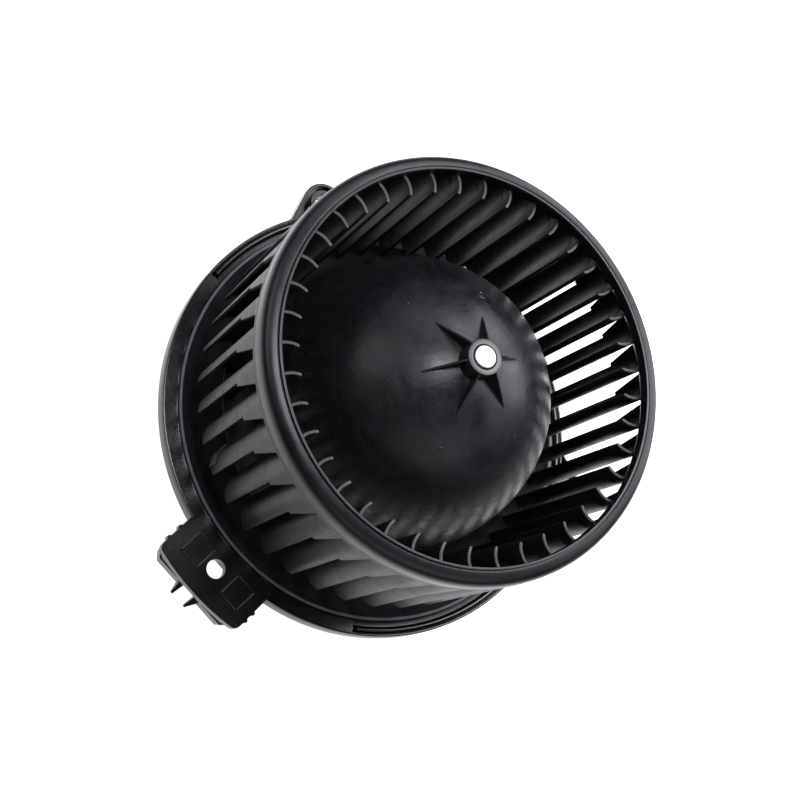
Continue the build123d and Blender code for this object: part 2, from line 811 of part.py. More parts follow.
def brush_spring():
    """A coil on a post whose arm presses the brush's tail."""
    low = brush_z - coil_height / 2
    pitch = coil_height / coil_turns
    notch_r = coil_outer_r - coil_notch
    profile = [(coil_inner_r, low), (notch_r, low)]
    for i in range(coil_turns):
        z = low + i * pitch
        profile += [(coil_outer_r, z + pitch / 2), (notch_r, z + pitch)]
    profile += [(coil_inner_r, low + coil_height)]
    coil = Pos(spring_x, spring_y, 0) * revolved(profile)
    arm_low = brush_z - arm_height / 2
    arm_high = brush_z + arm_height / 2
    start = spring_y + coil_inner_r + coil_wall / 2
    end = spring_y + arm_length + arm_overrun
    arm = box(arm_thickness, end - start, arm_low, arm_high, spring_x, (start + end) / 2)
    pad_x = brush_tail + pad_gap + pad_r
    pad = Pos(pad_x, 0, 0) * disc(pad_r, arm_low, arm_high)
    neck = box(spring_x - pad_x, arm_thickness, arm_low, arm_high, (spring_x + pad_x) / 2, 0)
    return coil + [arm, pad, neck]


def brush_card():
    """The insulating card, its spring posts and its terminal slots."""
    card = tube(can_inner_r - part_gap, commutator_r + 5 * part_gap, card_z, card_top_z)
    post = Pos(spring_x, spring_y, 0) * disc(post_r, card_z, brush_z + coil_height / 2 + overlap)
    card += [post, Rot(0, 0, 180) * post]
    slots = terminal_slots(terminal_width, terminal_thickness, card_z - overlap, card_top_z + overlap)
    return card - slots


def at_chokes(shape):
    """The two chokes lie on the card, one each side of the commutator."""
    middle_z = card_top_z + choke_coil_r + pad_gap
    return [Pos(0, side * choke_y, middle_z) * Rot(0, 90, 0) * shape for side in (-1, 1)]


def choke_cores():
    return Compound(at_chokes(Cylinder(choke_core_r, choke_core_length)))


def choke_windings():
    coil = Cylinder(choke_coil_r, choke_coil_length) - Cylinder(choke_core_r, choke_coil_length + overlap)
    pitch = choke_coil_length / choke_turns
    floor_r = choke_coil_r - wire_groove
    for i in range(1, choke_turns):
        groove = Cylinder(choke_coil_r + wire_groove, wire_groove) - Cylinder(floor_r, wire_groove)
        coil -= Pos(0, 0, pitch * i - choke_coil_length / 2) * groove
    return Compound(at_chokes(coil))


def suppression_capacitor():
    x, y, _ = polar(can_inner_r - capacitor_margin, capacitor_angle)
    body = box(*capacitor_size[:2], card_top_z, card_top_z + capacitor_size[2], x, y)
    return fillet(body.edges().filter_by(Axis.Z), 1)


# ---- rear cover and connector ----
def rear_cover():
    cover = disc(cover_r, cover_bottom_z, flange_back_z)
    rim = cover.edges().filter_by(GeomType.CIRCLE).group_by(Axis.Z)[0]
    cover = fillet(rim, cover_edge)
    cover += at_lugs(disc(lug_r, lug_low_z, flange_back_z))
    cover -= disc(cover_inner_r, cover_floor_z, flange_back_z + overlap)
    cover -= at_lugs(disc(screw_r + screw_clearance, lug_low_z - overlap, flange_back_z + overlap))
    depth = cover_r + socket_root_y + cover_wall
    return cover - box(socket_width, 2 * depth, socket_low_z, socket_high_z, 0, -cover_r)


def cover_screws():
    slot_length, slot_width, slot_depth = screw_recess
    head_z = lug_low_z
    seat_z = head_z - screw_head_height
    shank = disc(screw_r, head_z, lug_post_top_z - overlap - screw_tip_gap)
    head = disc(screw_head_r, seat_z, head_z)
    recess = box(slot_length, slot_width, seat_z - overlap, seat_z + slot_depth)
    recess += box(slot_width, slot_length, seat_z - overlap, seat_z + slot_depth)
    return Compound(at_lugs(shank + head - recess))


def connector_housing():
    """The harness socket: its root seats in the cover's window, its mouth faces -Y."""
    middle = (socket_root_y + socket_mouth_y) / 2
    shell = box(socket_width, socket_length, socket_low_z, socket_high_z, 0, middle)
    shell -= box(socket_width - 2 * socket_wall, socket_length, socket_low_z + socket_wall,
                 socket_high_z - socket_wall, 0, middle - socket_floor)
    low = socket_z - terminal_thickness / 2
    high = socket_z + terminal_thickness / 2
    for side in (-1, 1):
        shell -= box(terminal_width, 2 * socket_length, low, high, side * terminal_pitch / 2, middle)
    width, length, rise = latch_size
    latch_y = socket_mouth_y + latch_setback + length / 2
    return shell + box(width, length, socket_high_z - overlap / 2, socket_high_z + rise, 0, latch_y)


def terminal_blades():
    """Each strip drops from the card, steps inwards and runs out into the socket."""
    low = socket_z - terminal_thickness / 2
    high = socket_z + terminal_thickness / 2
    shelf_start = terminal_y + terminal_thickness / 2
    shelf_end = shelf_start - terminal_shelf
    far = socket_mouth_y + terminal_setback
    blades = []
    for side in (-1, 1):
        outer_x = side * terminal_pitch
        inner_x = side * terminal_pitch / 2
        riser = box(terminal_width, terminal_thickness, low, card_top_z + overlap, outer_x, terminal_y)
        shelf = box(terminal_width + terminal_pitch / 2, terminal_shelf, low, high,
                    (outer_x + inner_x) / 2, (shelf_start + shelf_end) / 2)
        run = box(terminal_width, shelf_start - far, low, high, inner_x, (shelf_start + far) / 2)
        blades.append(riser + shelf + run)
    return Compound(blades)


def build():
    half_turn = Rot(0, 0, 180)
    front_washer_z = front_bearing_z - bearing_length / 2 - washer_gap - washer_thickness
    rear_washer_z = rear_bearing_z + bearing_length / 2 + washer_gap
    front_isolator_z = cup_top_z - cup_lip - isolator_height
    return {
        "fan_wheel": fan_wheel(),
        "balance_clip": balance_clip(),
        "motor_shaft": motor_shaft(),
        "armature_core": armature_core(),
        "armature_windings": armature_windings(),
        "commutator_hub": commutator_hub(),
        "commutator_bars": commutator_bars(),
        "front_thrust_washer": thrust_washer(front_washer_z),
        "rear_thrust_washer": thrust_washer(rear_washer_z),
        "mounting_flange": mounting_flange(),
        "motor_can": motor_can(),
        "front_isolator": isolator(front_isolator_z),
        "rear_isolator": isolator(flange_back_z + overlap),
        "field_magnet_left": magnet(90),
        "field_magnet_right": magnet(-90),
        "magnet_clips": Compound([magnet_clip(0), magnet_clip(180)]),
        "front_bearing": bearing(front_bearing_z),
        "front_oil_felt": oil_felt(can_top_z, front_bearing_z + bearing_length / 2),
        "front_bearing_retainer": bearing_retainer(can_top_z - can_wall),
        "end_plate": end_plate(),
        "rear_bearing": bearing(rear_bearing_z),
        "brush_card": brush_card(),
        "brush_holders": Compound([brush_holder(), half_turn * brush_holder()]),
        "brush_left": half_turn * brush(),
        "brush_right": brush(),
        "brush_spring_left": half_turn * brush_spring(),
        "brush_spring_right": brush_spring(),
        "choke_cores": choke_cores(),
        "choke_windings": choke_windings(),
        "suppression_capacitor": suppression_capacitor(),
        "terminal_blades": terminal_blades(),
        "connector_housing": connector_housing(),
        "rear_cover": rear_cover(),
        "cover_screws": cover_screws(),
    }


os.makedirs("parts", exist_ok=True)
for name, shape in build().items():
    export_step(shape, f"parts/{name}.step")
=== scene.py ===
import bpy
import bmesh
import json
import math
from mathutils import Matrix, Vector
from mathutils.geometry import tessellate_polygon

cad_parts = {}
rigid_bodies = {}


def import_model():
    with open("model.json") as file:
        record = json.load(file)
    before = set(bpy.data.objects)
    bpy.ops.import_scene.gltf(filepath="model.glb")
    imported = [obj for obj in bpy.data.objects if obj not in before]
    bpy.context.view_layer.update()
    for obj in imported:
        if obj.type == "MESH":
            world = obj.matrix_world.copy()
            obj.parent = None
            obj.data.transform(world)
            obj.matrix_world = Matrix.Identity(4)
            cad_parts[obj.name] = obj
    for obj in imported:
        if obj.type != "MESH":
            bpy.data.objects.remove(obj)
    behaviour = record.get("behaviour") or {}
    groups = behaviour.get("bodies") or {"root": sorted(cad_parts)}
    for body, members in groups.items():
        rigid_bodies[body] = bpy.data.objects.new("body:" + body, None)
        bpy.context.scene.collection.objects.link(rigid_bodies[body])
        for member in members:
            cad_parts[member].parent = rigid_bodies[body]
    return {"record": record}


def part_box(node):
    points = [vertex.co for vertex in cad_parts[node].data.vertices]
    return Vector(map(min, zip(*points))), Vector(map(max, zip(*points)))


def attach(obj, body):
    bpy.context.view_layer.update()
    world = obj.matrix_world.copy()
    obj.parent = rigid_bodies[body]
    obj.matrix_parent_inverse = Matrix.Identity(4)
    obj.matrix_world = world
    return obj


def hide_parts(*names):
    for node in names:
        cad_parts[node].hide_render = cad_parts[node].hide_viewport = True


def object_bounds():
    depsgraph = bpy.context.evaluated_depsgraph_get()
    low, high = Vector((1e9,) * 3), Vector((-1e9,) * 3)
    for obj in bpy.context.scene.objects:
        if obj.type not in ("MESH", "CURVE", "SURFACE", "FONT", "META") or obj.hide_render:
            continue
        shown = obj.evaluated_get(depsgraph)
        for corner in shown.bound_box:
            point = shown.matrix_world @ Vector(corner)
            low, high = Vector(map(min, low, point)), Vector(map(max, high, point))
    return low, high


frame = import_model()
cad_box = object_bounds()
MM = 0.001
TAU = 2 * math.pi


# ---------------------------------------------------------------- mesh helpers (millimetres)
class Soup:
    """Vertices and faces gathered from several closed shapes."""

    def __init__(self):
        self.verts = []
        self.faces = []

    def add(self, shape, place=None):
        verts, faces = shape
        start = len(self.verts)
        for v in verts:
            self.verts.append(tuple(place @ Vector(v)) if place else tuple(v))
        self.faces += [tuple(start + i for i in face) for face in faces]
        return self


def turn_z(angle):
    return Matrix.Rotation(math.radians(angle), 4, "Z")


def shift(x, y, z):
    return Matrix.Translation((x, y, z))


def ring_faces(rows, count, closed_rows=True):
    """Quads between rows of vertices, where each row is a closed ring of count vertices."""
    faces = []
    for i in range(rows if closed_rows else rows - 1):
        a, b = i * count, ((i + 1) % rows) * count
        for j in range(count):
            k = (j + 1) % count
            faces.append((a + j, a + k, b + k, b + j))
    return faces


def turned(profile, steps):
    """A closed (r, z) outline turned about Z.

    profile is a list or a function of the angle, and steps is a count or a list of angles.
    """
    at = profile if callable(profile) else lambda angle: profile
    angles = steps if isinstance(steps, list) else [360 * i / steps for i in range(steps)]
    verts = []
    for angle in angles:
        c, s = math.cos(math.radians(angle)), math.sin(math.radians(angle))
        verts += [(r * c, r * s, z) for r, z in at(angle)]
    return verts, ring_faces(len(angles), len(at(0)))


def spun(profile, steps):
    """An open (r, z) outline that starts and ends on the axis, turned about Z."""
    verts = [(0, 0, profile[0][1])]
    inner = profile[1:-1]
    for r, z in inner:
        for i in range(steps):
            a = TAU * i / steps
            verts.append((r * math.cos(a), r * math.sin(a), z))
    verts.append((0, 0, profile[-1][1]))
    faces = [(0, 1 + (i + 1) % steps, 1 + i) for i in range(steps)]
    for row in range(len(inner) - 1):
        a, b = 1 + row * steps, 1 + (row + 1) * steps
        faces += [(a + i, a + (i + 1) % steps, b + (i + 1) % steps, b + i) for i in range(steps)]
    end = len(verts) - 1
    a = 1 + (len(inner) - 1) * steps
    faces += [(end, a + i, a + (i + 1) % steps) for i in range(steps)]
    return verts, faces


def rounded(points, radius, steps=3, closed=True):
    """Round an outline's corners; radius is one number, or a list with one for each point."""
    out = []
    count = len(points)
    for i, p in enumerate(points):
        r = radius[i] if isinstance(radius, (list, tuple)) else radius
        if r <= 0 or (not closed and i in (0, count - 1)):
            out.append(p)
            continue
        p = Vector(p)
        a, b = Vector(points[i - 1]), Vector(points[(i + 1) % count])
        to_a, to_b = a - p, b - p
        reach = min(r, to_a.length * 0.45, to_b.length * 0.45)
        start, end = p + to_a.normalized() * reach, p + to_b.normalized() * reach
        for k in range(steps + 1):
            t = k / steps
            out.append(tuple(start * (1 - t) ** 2 + p * 2 * t * (1 - t) + end * t * t))
    return out


def area(loop):
    """Signed: positive when the outline runs counter-clockwise."""
    return sum(a[0] * b[1] - b[0] * a[1] for a, b in zip(loop, loop[1:] + loop[:1])) / 2


def inset(loop, distance):
    """Move a counter-clockwise outline inwards; a clockwise one moves outwards."""
    out = []
    count = len(loop)
    for i, p in enumerate(loop):
        a, b = loop[i - 1], loop[(i + 1) % count]
        d1 = Vector((p[0] - a[0], p[1] - a[1])).normalized()
        d2 = Vector((b[0] - p[0], b[1] - p[1])).normalized()
        n1, n2 = Vector((-d1.y, d1.x)), Vector((-d2.y, d2.x))
        mean = n1 + n2
        if mean.length < 1e-6:
            mean = n1
        mean.normalize()
        scale = distance / max(0.4, mean.dot(n1))
        out.append((p[0] + mean.x * scale, p[1] + mean.y * scale))
    return out


def plate(outline, low, high, edge, holes=(), edge_low=None):
    """A flat slab with rounded edges and through holes; edge_low is the lower edge's own size."""
    edge_low = edge if edge_low is None else edge_low
    loops = [outline if area(outline) > 0 else outline[::-1]]
    loops += [hole if area(hole) < 0 else hole[::-1] for hole in holes]
    levels = [(low, edge_low)]
    if edge_low > 0:
        levels += [(low + 0.3 * edge_low, 0.3 * edge_low), (low + edge_low, 0)]
    levels += [(high - edge, 0), (high - 0.3 * edge, 0.3 * edge), (high, edge)]
    verts, faces, caps = [], [], []
    for loop in loops:
        start = len(verts)
        count = len(loop)
        for z, back in levels:
            verts += [(x, y, z) for x, y in (inset(loop, back) if back else loop)]
        side = ring_faces(len(levels), count, closed_rows=False)
        faces += [tuple(start + i for i in face) for face in side]
        caps.append((start, start + (len(levels) - 1) * count, count))
    for which, flip in ((0, True), (1, False)):
        rims = [[Vector((*verts[cap[which] + i][:2], 0)) for i in range(cap[2])] for cap in caps]
        index = [cap[which] + i for cap in caps for i in range(cap[2])]
        for a, b, c in tessellate_polygon(rims):
            face = (index[a], index[b], index[c])
            p, q, r = (Vector(verts[i]) for i in face)
            normal = (q - p).cross(r - p)
            if normal.length >= 1e-9:
                faces.append(face if (normal.z > 0) != flip else face[::-1])
    return verts, faces


def loft(loops):
    """Skin a list of closed loops of 3-D points that have the same count, and cap both ends."""
    count = len(loops[0])
    verts = [p for loop in loops for p in loop]
    faces = ring_faces(len(loops), count, closed_rows=False)
    faces.append(tuple(range(count))[::-1])
    faces.append(tuple(range((len(loops) - 1) * count, len(loops) * count)))
    return verts, faces


def arc(cx, cy, r, start, end, steps):
    step = (end - start) / steps
    return [(cx + r * math.cos(math.radians(start + step * i)),
             cy + r * math.sin(math.radians(start + step * i))) for i in range(steps + 1)]


def circle(cx, cy, r, steps):
    return arc(cx, cy, r, 0, 360, steps)[:-1]


def rectangle(x0, y0, x1, y1, corner):
    return rounded([(x0, y0), (x1, y0), (x1, y1), (x0, y1)], corner)


def piece(name, soup, material, body, replaced, sharp=30):
    """A visible piece that stands in for a CAD node; sharp is the angle that keeps an edge crisp."""
    mesh = bpy.data.meshes.new(name)
    mesh.from_pydata([(x * MM, y * MM, z * MM) for x, y, z in soup.verts], [], soup.faces)
    work = bmesh.new()
    work.from_mesh(mesh)
    bmesh.ops.remove_doubles(work, verts=work.verts, dist=1e-7)
    bmesh.ops.recalc_face_normals(work, faces=work.faces)
    work.to_mesh(mesh)
    work.free()
    mesh.polygons.foreach_set("use_smooth", [True] * len(mesh.polygons))
    mesh.set_sharp_from_angle(angle=math.radians(sharp))
    mesh.materials.append(material)
    obj = bpy.data.objects.new(name, mesh)
    bpy.context.scene.collection.objects.link(obj)
    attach(obj, body)
    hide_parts(replaced)


# ---------------------------------------------------------------- materials
class Nodes:
    """A material's node tree, with short ways to add what the materials below share."""

    def __init__(self, name):
        self.material = bpy.data.materials.new(name)
        self.material.use_nodes = True
        self.tree = self.material.node_tree
        self.shader = self.tree.nodes["Principled BSDF"]
        self.place = self.tree.nodes.new("ShaderNodeTexCoord").outputs["Object"]

    def new(self, kind, **values):
        """Add a node; each value goes to its socket of that name, or to its setting."""
        node = self.tree.nodes.new(kind)
        for key, value in values.items():
            if key in node.inputs:
                node.inputs[key].default_value = value
            else:
                setattr(node, key, value)
        return node

    def link(self, source, target):
        self.tree.links.new(source, target)

    def noise(self, scale, detail=3.0, rough=0.5, stretch=None, distortion=0.0):
        node = self.new("ShaderNodeTexNoise", Scale=scale, Detail=detail, Roughness=rough,
                        Distortion=distortion)
        if stretch:
            mapping = self.new("ShaderNodeMapping", Scale=stretch)
            self.link(self.place, mapping.inputs["Vector"])
            self.link(mapping.outputs[0], node.inputs["Vector"])
        else:
            self.link(self.place, node.inputs["Vector"])
        return node.outputs["Fac"]

    def ramp(self, source, stops):
        node = self.new("ShaderNodeValToRGB")
        ramp = node.color_ramp
        while len(ramp.elements) < len(stops):
            ramp.elements.new(0.5)
        for element, (spot, value) in zip(ramp.elements, stops):
            element.position = spot
            element.color = (value, value, value, 1) if isinstance(value, (int, float)) else (*value, 1)
        self.link(source, node.inputs[0])
        return node.outputs["Color"]

    def mix(self, factor, a, b, blend="MIX"):
        node = self.new("ShaderNodeMix", data_type="RGBA", blend_type=blend)
        for socket, value in ((node.inputs[0], factor), (node.inputs[6], a), (node.inputs[7], b)):
            if isinstance(value, bpy.types.NodeSocket):
                self.link(value, socket)
            elif isinstance(value, (int, float)):
                socket.default_value = value
            else:
                socket.default_value = (*value, 1)
        return node.outputs[2]

    def ramp_between(self, source, low, high):
        """0 at low and 1 at high, held beyond both."""
        node = self.new("ShaderNodeMapRange")
        node.inputs["From Min"].default_value = low
        node.inputs["From Max"].default_value = high
        self.link(source, node.inputs["Value"])
        return node.outputs["Result"]

    def both(self, a, b):
        return self.mix(1.0, a, b, "MULTIPLY")

    def axes(self):
        """The distance from the wheel's axis, and the place as separate X, Y and Z."""
        split = self.new("ShaderNodeSeparateXYZ")
        self.link(self.place, split.inputs[0])
        flat = self.new("ShaderNodeMapping", Scale=(1, 1, 0))
        self.link(self.place, flat.inputs["Vector"])
        reach = self.new("ShaderNodeVectorMath", operation="LENGTH")
        self.link(flat.outputs[0], reach.inputs[0])
        return reach.outputs["Value"], split.outputs

    def math(self, operation, value, operand=0.0):
        node = self.new("ShaderNodeMath", operation=operation)
        self.link(value, node.inputs[0])
        node.inputs[1].default_value = operand
        return node.outputs[0]

    def edges(self, low=0.5, high=0.62):
        """Worn edges, from how sharply the surface turns."""
        geometry = self.new("ShaderNodeNewGeometry")
        return self.ramp(geometry.outputs["Pointiness"], [(low, 0.0), (high, 1.0)])

    def bumps(self, layers, soften=0.0):
        """Stack (height, distance in mm, strength) bumps, over edges rounded by soften mm."""
        normal = None
        if soften:
            round_off = self.new("ShaderNodeBevel", samples=4, Radius=soften * MM)
            normal = round_off.outputs["Normal"]
        for height, distance, strength in layers:
            bump = self.new("ShaderNodeBump", Distance=distance * MM, Strength=strength)
            self.link(height, bump.inputs["Height"])
            if normal:
                self.link(normal, bump.inputs["Normal"])
            normal = bump.outputs["Normal"]
        self.link(normal, self.shader.inputs["Normal"])

    def finish(self, color, rough, **values):
        """Set colour and roughness, each a socket or a value, and any other shader input."""
        shader = self.shader
        for name, value in (("Base Color", color), ("Roughness", rough)):
            if isinstance(value, bpy.types.NodeSocket):
                self.link(value, shader.inputs[name])
            else:
                shader.inputs[name].default_value = value
        for name, value in values.items():
            shader.inputs[name.replace("_", " ")].default_value = value
        return self.material


def moulded(name, base, light, rough, grain, flow, wear=0.02, soften=0.0, zone=None):
    """Black moulded plastic: cloudy flow marks, a fine grain, and edges rubbed lighter.

    base and light are the tones that the clouds run between, and rough is the roughness range.
    zone changes gloss by place, for a moulding that isn't alike all over, and paints shade and highlights
    into the tone by place.
    """
    n = Nodes(name)
    clouds = n.noise(34, detail=7, rough=0.70, distortion=1.6)
    streaks = n.noise(34, detail=6, rough=0.7, stretch=(1, 1, 2.5), distortion=1.6)
    grain_fine = n.noise(1900, detail=2)
    grain_mid = n.noise(520, detail=4, rough=0.7)
    tone = n.ramp(clouds, [(0.34, (base * 1.1, base, base * 1.3)),
                           (0.68, (light * 1.1, light, light * 1.25))])
    gloss = n.ramp(streaks, [(0.36, rough[0]), (0.64, rough[1])])
    if zone:
        # the zone's tone carries painted shade and painted highlights
        tone, gloss = zone(n, tone, gloss, streaks, base)
    color = n.mix(n.edges(0.53, 0.66), tone, (wear, wear * 0.96, wear * 1.08))
    fine = n.ramp(grain_mid, [(0.3, 0.0), (0.75, 0.06)])
    n.bumps([(clouds, 0.28 * flow, 0.6), (grain_mid, 0.04, 0.5 * grain),
             (grain_fine, 0.02, 0.5 * grain)], soften)
    return n.finish(color, n.mix(1.0, gloss, fine, "ADD"))


def wheel_gloss_and_painted_shade(n, tone, gloss, streaks, base):
    """The wheel's disc, between the blade feet, is duller than the dome, and its tone is darkened there as
    painted shade.
    """
    reach, axis = n.axes()
    disc = n.both(n.ramp_between(axis["Z"], 0.0170, 0.0155), n.ramp_between(reach, 0.0520, 0.0540))
    # painted shade: the disc's tone darkened to 0.4 of the base, where little light reaches between the
    # blades
    tone = n.mix(disc, tone, (base * 0.4, base * 0.38, base * 0.42))
    return tone, n.mix(disc, gloss, n.ramp(streaks, [(0.36, 0.62), (0.64, 0.76)]))


def flange_gloss_and_painted_light(n, tone, gloss, streaks, base):
    """The flange's rim is smooth and painted dark as painted shade, its ridge painted pale as a painted
    highlight over its worn edge, its cup dull, and its ears' lower walls and every guide fin under the wide
    ear painted pale as painted light.
    """
    reach, axis = n.axes()
    off_centre = n.math("ABSOLUTE", n.math("SUBTRACT", reach, 0.0620))
    rim = n.ramp_between(off_centre, 0.0160, 0.0168)
    ridge = n.ramp_between(axis["Z"], 0.00015, 0.00045)
    cup = n.ramp_between(reach, 0.0460, 0.0450)
    low = n.ramp_between(axis["Z"], -0.0045, -0.0070)
    # painted shade: the flange face and rim darkened to about a third of the base, as if in the wheel's
    # shadow
    tone = n.mix(rim, tone, (base * 0.32, base * 0.30, base * 0.36))
    # painted highlight: the ridge line made pale grey, over the wear of its edge
    tone = n.mix(ridge, tone, (0.200, 0.192, 0.212))
    gloss = n.mix(rim, gloss, n.ramp(streaks, [(0.36, 0.15), (0.64, 0.21)]))
    gloss = n.mix(cup, gloss, n.ramp(streaks, [(0.36, 0.60), (0.64, 0.72)]))
    ear_wall_lit = n.both(low, n.ramp_between(reach, 0.0860, 0.0880))
    fins_lit = n.both(low, n.ramp_between(axis["Y"], -0.0990, -0.0994))
    # painted light: the ears' lower walls made pale, as lit from below
    tone = n.mix(ear_wall_lit, tone, (0.055, 0.053, 0.058))
    # painted light: each guide fin under the wide ear made pale grey, as lit
    return n.mix(fins_lit, tone, (0.30, 0.29, 0.31)), gloss


def metal(name, tone, dark, rough, brush, grain=0.4, soften=0.15, wear=0.0):
    """Bare or plated metal: streaks stretched by brush, tarnish towards dark, and small scuffs."""
    n = Nodes(name)
    streaks = n.noise(240, detail=3, rough=0.6, stretch=brush)
    stains = n.noise(60, detail=5, rough=0.65, distortion=0.6)
    scuffs = n.noise(900, detail=2)
    color = n.mix(n.ramp(stains, [(0.35, 0.0), (0.75, 1.0)]), tone, dark)
    if wear:
        color = n.mix(n.edges(), color, tuple(min(1.0, c + wear) for c in tone))
    gloss = n.ramp(streaks, [(0.3, rough[0]), (0.7, rough[1])])
    n.bumps([(streaks, 0.012, 0.4 * grain), (scuffs, 0.008, 0.3 * grain)], soften)
    return n.finish(color, gloss, Metallic=1.0)


def dull(name, tone, dark, rough, scale=90, bump=0.04, fine=1400, **values):
    """Rubber, felt, ferrite, carbon, card and resin: patches towards dark over a fine grain."""
    n = Nodes(name)
    patches = n.noise(scale, detail=5, rough=0.6)
    grain = n.noise(fine, detail=3, rough=0.7)
    color = n.mix(n.ramp(patches, [(0.35, 0.0), (0.7, 1.0)]), tone, dark)
    gloss = n.ramp(grain, [(0.3, rough[0]), (0.7, rough[1])])
    n.bumps([(patches, bump, 0.4), (grain, bump * 0.6, 0.5)], 0.2)
    return n.finish(color, gloss, **values)


def wound(name):
    """Enamelled copper wire, laid side by side."""
    n = Nodes(name)
    wave = n.new("ShaderNodeTexWave", Scale=420.0, Distortion=1.5, Detail=1.0)
    wave.bands_direction = "Z"
    n.link(n.place, wave.inputs["Vector"])
    patches = n.noise(80, detail=4)
    tone = n.mix(n.ramp(patches, [(0.3, 0.0), (0.75, 1.0)]), (0.50, 0.20, 0.075), (0.30, 0.10, 0.035))
    gloss = n.ramp(patches, [(0.3, 0.25), (0.7, 0.42)])
    n.bumps([(wave.outputs["Fac"], 0.15, 0.7)], 0.1)
    return n.finish(tone, gloss, Metallic=0.85, Coat_Weight=0.5)


MATERIALS = {
    "wheel_plastic": moulded("wheel_plastic", 0.0040, 0.0100, (0.22, 0.42), grain=0.9, flow=1.3,
                             zone=wheel_gloss_and_painted_shade),
    "flange_plastic": moulded("flange_plastic", 0.011, 0.024, (0.46, 0.62), grain=1.6, flow=0.25,
                              wear=0.012, zone=flange_gloss_and_painted_light),
    "cover_plastic": moulded("cover_plastic", 0.010, 0.016, (0.42, 0.58), grain=1.4, flow=0.5,
                             wear=0.03, soften=0.3),
    "shaft_steel": metal("shaft_steel", (0.56, 0.555, 0.55), (0.44, 0.435, 0.43), (0.30, 0.46),
                         (1, 1, 8)),
    "can_steel": metal("can_steel", (0.58, 0.59, 0.60), (0.42, 0.43, 0.44), (0.28, 0.44),
                       (1, 1, 40), wear=0.1),
    "core_steel": metal("core_steel", (0.34, 0.34, 0.35), (0.20, 0.20, 0.21), (0.35, 0.5),
                        (1, 1, 120)),
    "spring_steel": metal("spring_steel", (0.60, 0.60, 0.59), (0.40, 0.40, 0.40), (0.2, 0.34),
                          (40, 1, 1), soften=0.05),
    "screw_steel": metal("screw_steel", (0.62, 0.61, 0.58), (0.45, 0.44, 0.42), (0.26, 0.42),
                         (1, 1, 6), wear=0.1),
    "copper": wound("copper"),
    "commutator_copper": metal("commutator_copper", (0.72, 0.36, 0.22), (0.42, 0.20, 0.12),
                               (0.2, 0.36), (1, 1, 80)),
    "bronze": metal("bronze", (0.52, 0.36, 0.18), (0.34, 0.24, 0.12), (0.4, 0.6), (1, 1, 4),
                    grain=1.2),
    "brass": metal("brass", (0.74, 0.56, 0.26), (0.52, 0.38, 0.18), (0.24, 0.4), (1, 30, 1),
                   soften=0.08),
    "magnet_ferrite": dull("magnet_ferrite", (0.055, 0.055, 0.06), (0.03, 0.03, 0.033), (0.5, 0.7)),
    "carbon": dull("carbon", (0.03, 0.03, 0.032), (0.016, 0.016, 0.018), (0.38, 0.6), Metallic=0.2),
    "phenolic": dull("phenolic", (0.07, 0.035, 0.02), (0.035, 0.018, 0.011), (0.25, 0.4), bump=0.01),
    "card_plastic": dull("card_plastic", (0.16, 0.10, 0.045), (0.09, 0.055, 0.025), (0.4, 0.6)),
    "capacitor_resin": dull("capacitor_resin", (0.42, 0.12, 0.02), (0.28, 0.07, 0.012),
                            (0.12, 0.25), bump=0.02),
    "rubber": dull("rubber", (0.018, 0.018, 0.018), (0.009, 0.009, 0.009), (0.62, 0.82)),
    "felt": dull("felt", (0.34, 0.28, 0.18), (0.20, 0.16, 0.10), (0.8, 0.98), scale=300, bump=0.2,
                 fine=2600, Sheen_Weight=0.4),
    "nylon": dull("nylon", (0.62, 0.59, 0.52), (0.50, 0.47, 0.40), (0.35, 0.5), bump=0.02,
                  Subsurface_Weight=0.1),
}
BOSS_FACE = moulded("boss_face", 0.012, 0.018, (0.30, 0.38), grain=0.8, flow=0.2, wear=0.04)
BLADE = moulded("blade_plastic", 0.0055, 0.0085, (0.38, 0.48), grain=0.35, flow=0.25, wear=0.03)
RING = moulded("ring_plastic", 0.0050, 0.0090, (0.25, 0.34), grain=0.6, flow=0.35)
CLIP = metal("clip_steel", (0.10, 0.10, 0.105), (0.045, 0.045, 0.05), (0.48, 0.64), (40, 1, 1),
             soften=0.1)

for node in frame["record"]["subparts"]:
    obj = bpy.data.objects[node["node"]]
    obj.data.materials.clear()
    by_slot = MATERIALS[node["material_slot"]]
    obj.data.materials.append(CLIP if node["node"] == "balance_clip" else by_slot)


# ---------------------------------------------------------------- wheel (sizes repeated from the CAD)
BLADES = 41
PHASE = 6.5                         # angle of the first blade
TIP_Z = 79.0                        # blade tips
FOOT_Z = 10.8                       # blade feet
STEP_Z = 55.5                       # above this the blades are deeper
RING_REAR_Z = 72.5
CAMBER = (65.441, 7.990, 8.7)       # centre and radius of a blade's curve
CAMBER_START = -113.3               # where the curve starts, in degrees
CAMBER_END = -3.0
CAMBER_END_SHORT = -41.0            # inside the ring, the blades stop here
BLADE_REACH = 74.42                 # radius of a blade's outer edge
DOME_BASE_R = 55.2
DOME_BASE_Z = 19.2
DOME_WALL = 2.0
DOME_TOP_R = 4.6
DOME_POWERS = (1.53, 3.08)          # the dome is a superellipse, of height DOME_H
APEX_Z = 83.2
DOME_H = 78.2
BOSS_TOP_Z = 89.0
BOSS_R = 6.3
RIB_PHASE = -1.5                    # angle of the first star rib
PIN_MARK_R = 29.6
PIN_MARK_SIZES = (0.75, 0.75, 2.0, 0.75, 0.75, 0.75)


def inlet_ring():
    outer = [(74.55, 72.5), (74.95, 72.75), (75.0, 73.25), (74.8, 73.7), (74.85, 75.0), (74.85, 77.6),
             (74.72, 78.9), (74.4, 79.9), (73.9, 80.7), (73.25, 81.3), (72.5, 81.72), (71.7, 82.0),
             (70.9, 82.2), (70.35, 82.3), (70.1, 82.2), (69.95, 81.8), (69.78, 81.8), (69.66, 82.4),
             (69.5, 82.66), (69.3, 82.7), (68.8, 82.7), (68.6, 82.5), (68.55, 81.9), (68.6, 79.2)]
    under = [(69.3, 77.6), (70.6, 75.6), (71.9, 73.9), (72.7, 72.75), (73.0, 72.5)]
    return turned(outer + under, BLADES * 8)


